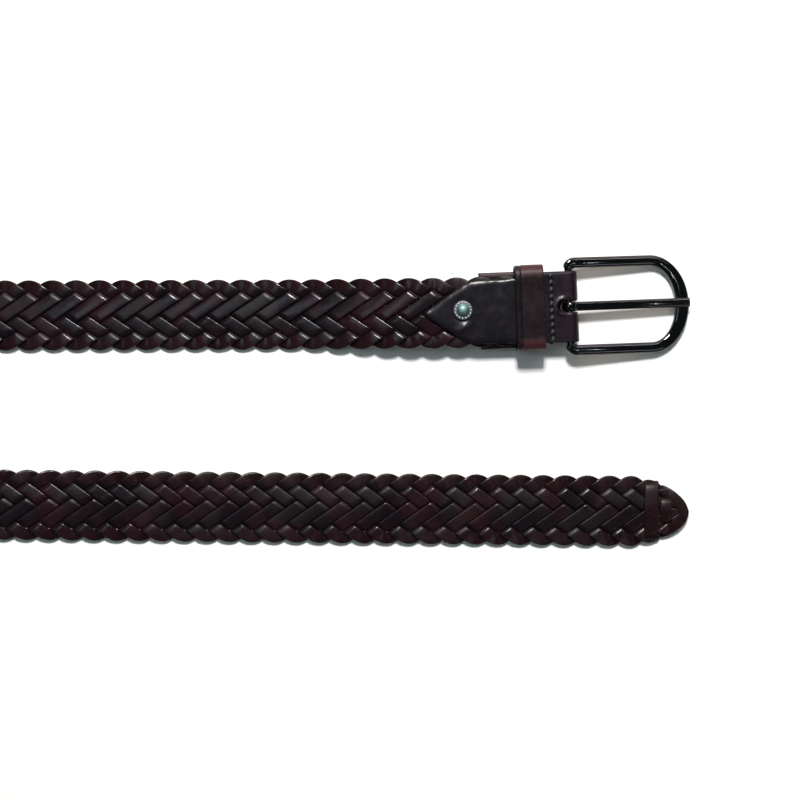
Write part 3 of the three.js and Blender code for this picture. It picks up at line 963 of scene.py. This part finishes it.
# %% A row of stitches from one rule
def stitch_tree():
    tree, given = start_tree("stitch_row", {
        "Count": "Int", "Pitch": "Float", "Length": "Float",
        "Thickness": "Float", "Slant": "Float", "Thread": "Material",
    })
    first = (given["Count"] - 1.0) * given["Pitch"] * -0.5
    start = add_node(tree, "ShaderNodeCombineXYZ", {1: first})
    step = add_node(tree, "ShaderNodeCombineXYZ", {1: given["Pitch"]})
    line = add_node(tree, "GeometryNodeMeshLine", {
        "Count": given["Count"],
        "Start Location": Field(tree, start.outputs[0]),
        "Offset": Field(tree, step.outputs[0]),
    })
    bead = add_node(tree, "GeometryNodeMeshUVSphere", {"Segments": 12, "Rings": 10, "Radius": 0.5})
    thickness = given["Thickness"]
    size = add_node(tree, "ShaderNodeCombineXYZ", {0: thickness, 1: given["Length"], 2: thickness})
    turn = add_node(tree, "ShaderNodeCombineXYZ", {2: given["Slant"]})
    rotation = add_node(tree, "FunctionNodeEulerToRotation", {0: Field(tree, turn.outputs[0])})
    placed = add_node(tree, "GeometryNodeInstanceOnPoints", {
        "Points": Field(tree, line.outputs["Mesh"]),
        "Instance": Field(tree, bead.outputs["Mesh"]),
        "Rotation": Field(tree, rotation.outputs[0]),
        "Scale": Field(tree, size.outputs[0]),
    })
    return finish_tree(tree, placed, given["Thread"])


def thread():
    material, tree, shader = new_material("waxed_thread")
    where = object_place(tree)
    fibres = noise_field(tree, where, 1800.0, 3.0, 0.6)
    link(tree, blended(tree, fibres, (0.018, 0.014, 0.017), (0.07, 0.058, 0.062)), shader, "Base Color")
    link(tree, fibres * 0.3 + 0.3, shader, "Roughness")
    link(tree, bump_from(tree, fibres, 0.05 * MM), shader, "Normal")
    return material


stitch_rule = stitch_tree()
waxed_thread = thread()
for face, height in (("front", FOLD_INNER + TAB_THICKNESS), ("back", -FOLD_INNER - TAB_THICKNESS)):
    stitches = grown(f"stitches_{face}", stitch_rule, {
        "Count": STITCHES,
        "Pitch": STITCH_PITCH * MM,
        "Length": 2.4 * MM,
        "Thickness": 1.35 * MM,
        "Slant": math.radians(-28),
        "Thread": waxed_thread,
    })
    stitches.data.transform(HEAD @ Matrix.Translation(Vector((STITCH_ROW, 0, height)) * MM))
    face_outwards(stitches)
    dress(stitches, waxed_thread, "belt", "tab_leather")
print("stitches:", 2 * STITCHES)

# %% [markdown]
# ## The keeper
# The keeper is a strip of leather bent to a loop, with its ends joined behind. A strip of one section
# round a closed line is a sweep: corners are drawn as a polygon, a helper puts arcs in their place, and
# the section follows the line. Along its left side the real strip is creased and made thinner, so the
# section has a groove there, and the band beside the groove lies lower. That band is darkened with
# painted shade, and the bends at top and bottom are painted redder as a painted highlight.

# %% Sweep the keeper
KEEPER_MIDDLE = -20.0
KEEPER_HALF = 20.5
KEEPER_BOTTOM, KEEPER_TOP = -5.15, 9.25
KEEPER_BENDS = (1.25, 3.9)
KEEPER_SECTION = [
    (-7.0, -0.75), (7.0, -0.75), (7.0, 0.75), (-3.9, 0.78), (-4.35, 0.45), (-4.8, 0.6), (-7.0, 0.6),
]
KEEPER_SECTION_BENDS = [0.5, 0.5, 0.55, 0.12, 0.1, 0.12, 0.5]


def with_arcs(corners, radii, steps=5):
    """A closed line with an arc in the place of each corner."""
    line = []
    for at, corner in enumerate(corners):
        corner = Vector(corner)
        before = (Vector(corners[at - 1]) - corner).normalized()
        after = (Vector(corners[(at + 1) % len(corners)]) - corner).normalized()
        half_angle = before.angle(after) / 2
        centre = corner + (before + after).normalized() * radii[at] / math.sin(half_angle)
        start = corner + before * radii[at] / math.tan(half_angle) - centre
        end = corner + after * radii[at] / math.tan(half_angle) - centre
        turn = start.angle_signed(end)
        for step in range(steps + 1):
            angle = -turn * step / steps
            line.append(centre + Vector((start.x * math.cos(angle) - start.y * math.sin(angle),
                                         start.x * math.sin(angle) + start.y * math.cos(angle))))
    return line


def refined(line, step):
    """Adds points to a closed line wherever two of its points are further apart than the step."""
    result = []
    for here, there in zip(line, line[1:] + line[:1]):
        count = max(1, round((there - here).length / step))
        result += [here.lerp(there, index / count) for index in range(count)]
    return result


def make_keeper():
    low, high = KEEPER_BENDS
    corners = [(KEEPER_HALF, KEEPER_BOTTOM), (KEEPER_HALF, KEEPER_TOP),
               (-KEEPER_HALF, KEEPER_TOP), (-KEEPER_HALF, KEEPER_BOTTOM)]
    line = refined(with_arcs(corners, [low, high, high, low], 8), 1.2)
    section = refined(with_arcs(KEEPER_SECTION, KEEPER_SECTION_BENDS, 4), 1.0)
    rings = []
    for at, (v, w) in enumerate(line):
        run = (line[(at + 1) % len(line)] - line[at - 1]).normalized()
        out = Vector((run.y, -run.x))
        ring = []
        for a, t in section:
            swell = 0.22 * noise.noise(Vector((a * 0.12, v * 0.09, w * 0.09 + 5.0)))
            place = Vector((v, w)) + out * (t + max(-0.1, swell))
            ring.append((KEEPER_MIDDLE + a, place.x, place.y))
        rings.append(ring)
    points, faces = tube(rings, closed=True)
    return new_piece("keeper_loop", points, faces, HEAD)


def keeper_leather():
    material, tree, shader = new_material("keeper_leather")
    where = object_place(tree)
    u, v, w = attribute_parts(tree, "head")
    clouds = noise_field(tree, where, 80.0, 3.0, 0.5)
    scuffs = noise_field(tree, where, 330.0, 4.0, 0.65)
    grain = noise_field(tree, where, 2200.0, 2.0, 0.5)
    bend = ramp(abs(v), 14.0, 18.5)
    # Painted shade: the lowered band along the left side is painted darker
    band_painted_shade = ramp(u, KEEPER_MIDDLE - 4.0, KEEPER_MIDDLE - 4.5)
    body = blended(tree, clouds, (0.0045, 0.0026, 0.0036), (0.012, 0.0058, 0.0085))
    # Painted highlight: the bends at top and bottom are painted redder
    bend_painted_highlight = blended(tree, smaller(bend * (scuffs * 0.7 + 0.35), 1.0), body, (0.060, 0.015, 0.020))
    colour = blended(tree, band_painted_shade * 0.8, bend_painted_highlight, (0.0025, 0.0018, 0.003))
    link(tree, colour, shader, "Base Color")
    link(tree, scuffs * 0.26 + bend * 0.2 + 0.13, shader, "Roughness")
    link(tree, bump_from(tree, grain * 0.05 + scuffs * 0.12, 0.3 * MM, 0.8), shader, "Normal")
    shader.inputs["Specular IOR Level"].default_value = 0.22
    return material


keeper = make_keeper()
note_head_place(keeper)
dress(keeper, keeper_leather(), "belt", "keeper_leather", "keeper")
print("keeper faces:", len(keeper.data.polygons))

# %% [markdown]
# ## The snap
# A press snap is turned metal: a cap with a domed middle inside a flat ring, a post through the leather
# and a plate behind. One profile turned about its axis gives all of it. Round the ring runs a row of
# small raised dots, set by a second geometry tree on the points of a circle.

# %% Turn the snap
SNAP_PROFILE = [
    (0.0, -3.3), (4.2, -3.3), (4.8, -3.15), (4.95, -2.8), (4.8, -2.4), (2.0, -2.3), (2.0, 4.0),
    (4.6, 4.05), (4.95, 4.35), (5.0, 4.8), (4.9, 5.15), (4.65, 5.36), (4.3, 5.44), (3.6, 5.44), (3.2, 5.42),
    (3.0, 5.46), (2.85, 5.56), (2.5, 5.80), (1.9, 6.06), (1.0, 6.27), (0.0, 6.33),
]
TURN_STEPS = 64
RING_DOTS = 15
RING_RADIUS, DOT_RADIUS = 3.95, 0.42
SNAP_PLACE = HEAD @ Matrix.Translation(Vector((-SNAP_DISTANCE, 0, 0)) * MM)


def turned_piece(name, profile, place):
    rings = []
    for radius, height in profile[1:-1]:
        angles = [2 * math.pi * step / TURN_STEPS for step in range(TURN_STEPS)]
        rings.append([(radius * math.cos(angle), radius * math.sin(angle), height) for angle in angles])
    points, faces = tube(rings)
    points[-2] = (0, 0, profile[0][1])
    points[-1] = (0, 0, profile[-1][1])
    return new_piece(name, points, faces, place)


def dot_tree():
    tree, given = start_tree("ring_of_dots", {
        "Count": "Int", "Ring": "Float", "Dot": "Float", "Metal": "Material",
    })
    circle = add_node(tree, "GeometryNodeMeshCircle", {"Vertices": given["Count"], "Radius": given["Ring"]})
    bead = add_node(tree, "GeometryNodeMeshUVSphere", {"Segments": 12, "Rings": 8, "Radius": given["Dot"]})
    placed = add_node(tree, "GeometryNodeInstanceOnPoints", {
        "Points": Field(tree, circle.outputs["Mesh"]),
        "Instance": Field(tree, bead.outputs["Mesh"]),
        "Scale": (1.0, 1.0, 0.6),
    })
    return finish_tree(tree, placed, given["Metal"])


def snap_metal(name, dome, ring):
    """Plated metal whose colour changes from the domed middle to the ring."""
    material, tree, shader = new_material(name)
    where = object_place(tree)
    u, v, _ = attribute_parts(tree, "head")
    off = u + SNAP_DISTANCE
    radius = calculate("SQRT", off * off + v * v)
    tarnish = noise_field(tree, where, 900.0, 3.0, 0.6)
    middle = blended(tree, tarnish, dome, tuple(value * 1.7 for value in dome))
    link(tree, blended(tree, ramp(radius, 2.7, 3.2), middle, ring), shader, "Base Color")
    link(tree, tarnish * 0.2 + 0.38, shader, "Roughness")
    shader.inputs["Metallic"].default_value = 1.0
    return material


snap = turned_piece("press_snap", SNAP_PROFILE, SNAP_PLACE)
note_head_place(snap)
cap_metal = snap_metal("snap_plating", (0.085, 0.145, 0.142), (0.085, 0.10, 0.11))
dress(snap, cap_metal, "belt", "snap_metal", "snap")
dot_metal = snap_metal("snap_dots", (0.45, 0.47, 0.49), (0.5, 0.52, 0.54))
dots = grown("snap_ring_dots", dot_tree(), {
    "Count": RING_DOTS, "Ring": RING_RADIUS * MM, "Dot": DOT_RADIUS * MM, "Metal": dot_metal,
})
dots.data.transform(SNAP_PLACE @ Matrix.Translation(Vector((0, 0, 5.4)) * MM))
face_outwards(dots)
note_head_place(dots)
dress(dots, dot_metal, "belt", "snap_metal")
print("snap faces:", len(snap.data.polygons), "dots:", RING_DOTS)

# %% [markdown]
# ## The buckle
# The frame is one casting: a thin round bar inside the fold, two arms and a heavier curved end. Its
# section changes all the way, so it is lofted: ovals of growing size are set square to a flat middle
# line, which has small round corners beside the bar and half an ellipse at the far end.

# %% Loft the frame
BAR = 4.0
ARM_WIDTH, ARM_HEIGHT = 5.3, 4.2
FAR_WIDTH, FAR_HEIGHT = 6.8, 4.4
ARM_LENGTH, END_LENGTH = 41.0, 16.1
CORNER = 3.05
CORNER_START = 18.6
CORNER_WIDTH = 5.9
ARM_SQUARENESS = 0.62
FAR_REACH = ARM_LENGTH + END_LENGTH
FRAME_TILT = math.asin((bar_middle.z / MM - FAR_HEIGHT / 2) / FAR_REACH)
BUCKLE = HEAD @ Matrix.Rotation(FRAME_TILT, 4, "Y")
FRAME_SECTION = 28


def frame_half():
    """Half of the middle line from the bar to the far end, as (u, v, width, height, squareness)."""
    line = [(0.0, v, BAR, BAR, 1.0) for v in spaced(0.0, CORNER_START, 1.5)]
    for step in range(11):
        share = step / 10
        angle = share * math.pi / 2
        grown_share = smooth(share * 4)
        width = CORNER_WIDTH + (ARM_WIDTH - CORNER_WIDTH) * share
        line.append((CORNER * (1 - math.cos(angle)), CORNER_START + CORNER * math.sin(angle),
                     BAR + (width - BAR) * grown_share, BAR + (ARM_HEIGHT - BAR) * share,
                     1 - (1 - ARM_SQUARENESS) * grown_share))
    arm_out = CORNER_START + CORNER
    for share in spaced(0.0, 1.0, 0.04)[1:]:
        line.append((CORNER + (ARM_LENGTH - CORNER) * share, arm_out, ARM_WIDTH, ARM_HEIGHT, ARM_SQUARENESS))
    for step in range(25):
        share = step / 24
        angle = share * math.pi / 2
        grown_share = smooth(share)
        line.append((ARM_LENGTH + END_LENGTH * math.sin(angle), arm_out * math.cos(angle),
                     ARM_WIDTH + (FAR_WIDTH - ARM_WIDTH) * grown_share,
                     ARM_HEIGHT + (FAR_HEIGHT - ARM_HEIGHT) * grown_share, ARM_SQUARENESS))
    return line


def make_frame():
    half = frame_half()
    line = half + [(u, -v, *rest) for u, v, *rest in reversed(half[1:-1])]
    rings = []
    for at, (u, v, width, height, squareness) in enumerate(line):
        before, after = line[at - 1], line[(at + 1) % len(line)]
        normal = Vector((after[1] - before[1], before[0] - after[0])).normalized()
        section = superellipse(width, height, FRAME_SECTION, squareness)
        rings.append([(u + normal.x * sideways, v + normal.y * sideways, out) for sideways, out in section])
    points, faces = tube(rings, closed=True)
    return new_piece("buckle_casting", points, faces, BUCKLE)


def gunmetal():
    material, tree, shader = new_material("gunmetal")
    where = object_place(tree)
    haze = noise_field(tree, where, 160.0, 3.0, 0.55)
    shader.inputs["Base Color"].default_value = (0.055, 0.055, 0.062, 1)
    shader.inputs["Metallic"].default_value = 1.0
    link(tree, haze * 0.03 + 0.02, shader, "Roughness")
    link(tree, bump_from(tree, haze, 0.01 * MM, 0.4), shader, "Normal")
    return material


plating = gunmetal()
casting = make_frame()
dress(casting, plating, "buckle", "gunmetal", "buckle_frame")
print("frame faces:", len(casting.data.polygons))

# %% [markdown]
# The prong is cast as a rod with an eye that turns on the bar, and its tip rests on the frame's far
# end. The rod is a loft of ovals that grow thinner towards the tip, the eye is a closed loft round the
# bar, and a Boolean modifier joins the two into one skin with a crisp line at the neck.

# %% Loft and join the prong
PRONG_WIDTH = 4.6
PRONG_THICKNESS = 3.0
PRONG_TIP = 2.2
PRONG_REACH = FAR_REACH + 3.1
PRONG_SQUARENESS = 0.68
EYE_INNER, EYE_OUTER = 2.3, 3.9
PRONG_RISE = math.asin((FAR_HEIGHT / 2 + 0.3 + PRONG_TIP / 2) / FAR_REACH)
PRONG = HEAD @ Matrix.Rotation(FRAME_TILT - PRONG_RISE, 4, "Y")


def rod_rings():
    """Ovals from inside the eye's wall to the tip, the last few of them shrinking to a blunt end."""
    places = spaced(EYE_INNER + 0.4, ARM_LENGTH, 1.5) + spaced(ARM_LENGTH, PRONG_REACH - 0.5, 1.5)
    places = [(u, 1.0) for u in places]
    for turn in (0.0, 0.5, 1.0, math.pi / 2):
        places.append((PRONG_REACH - 0.5 + 0.5 * math.sin(turn), 0.82 + 0.18 * math.cos(turn)))
    rings = []
    for u, size in places:
        near = min(1.0, u / ARM_LENGTH)
        far = max(0.0, (u - ARM_LENGTH) / (PRONG_REACH - ARM_LENGTH))
        top = (PRONG_THICKNESS + (PRONG_TIP - PRONG_THICKNESS) * far) / 2
        bottom = -(PRONG_THICKNESS + (PRONG_TIP - PRONG_THICKNESS) * near) / 2
        section = superellipse(PRONG_WIDTH * size, (top - bottom) * size, FRAME_SECTION, PRONG_SQUARENESS)
        rings.append([(u, v, (top + bottom) / 2 + w) for v, w in section])
    return rings


def eye_rings():
    rings = []
    for step in range(56):
        angle = 2 * math.pi * step / 56
        section = superellipse(PRONG_WIDTH, EYE_OUTER - EYE_INNER, FRAME_SECTION, 1.0)
        radii = [((EYE_INNER + EYE_OUTER) / 2 + out, v) for v, out in section]
        rings.append([(radius * math.cos(angle), v, radius * math.sin(angle)) for radius, v in radii])
    return rings


def make_prong():
    rod = new_piece("buckle_prong", *tube(rod_rings()), PRONG)
    eye = new_piece("prong_eye", *tube(eye_rings(), closed=True), PRONG)
    join = rod.modifiers.new("join", "BOOLEAN")
    join.operation = "UNION"
    join.solver = "EXACT"
    join.object = eye
    baked(rod)
    bpy.data.objects.remove(eye)
    face_outwards(rod)
    return rod


tongue = make_prong()
dress(tongue, plating, "prong", "gunmetal", "prong")
print("prong faces:", len(tongue.data.polygons))
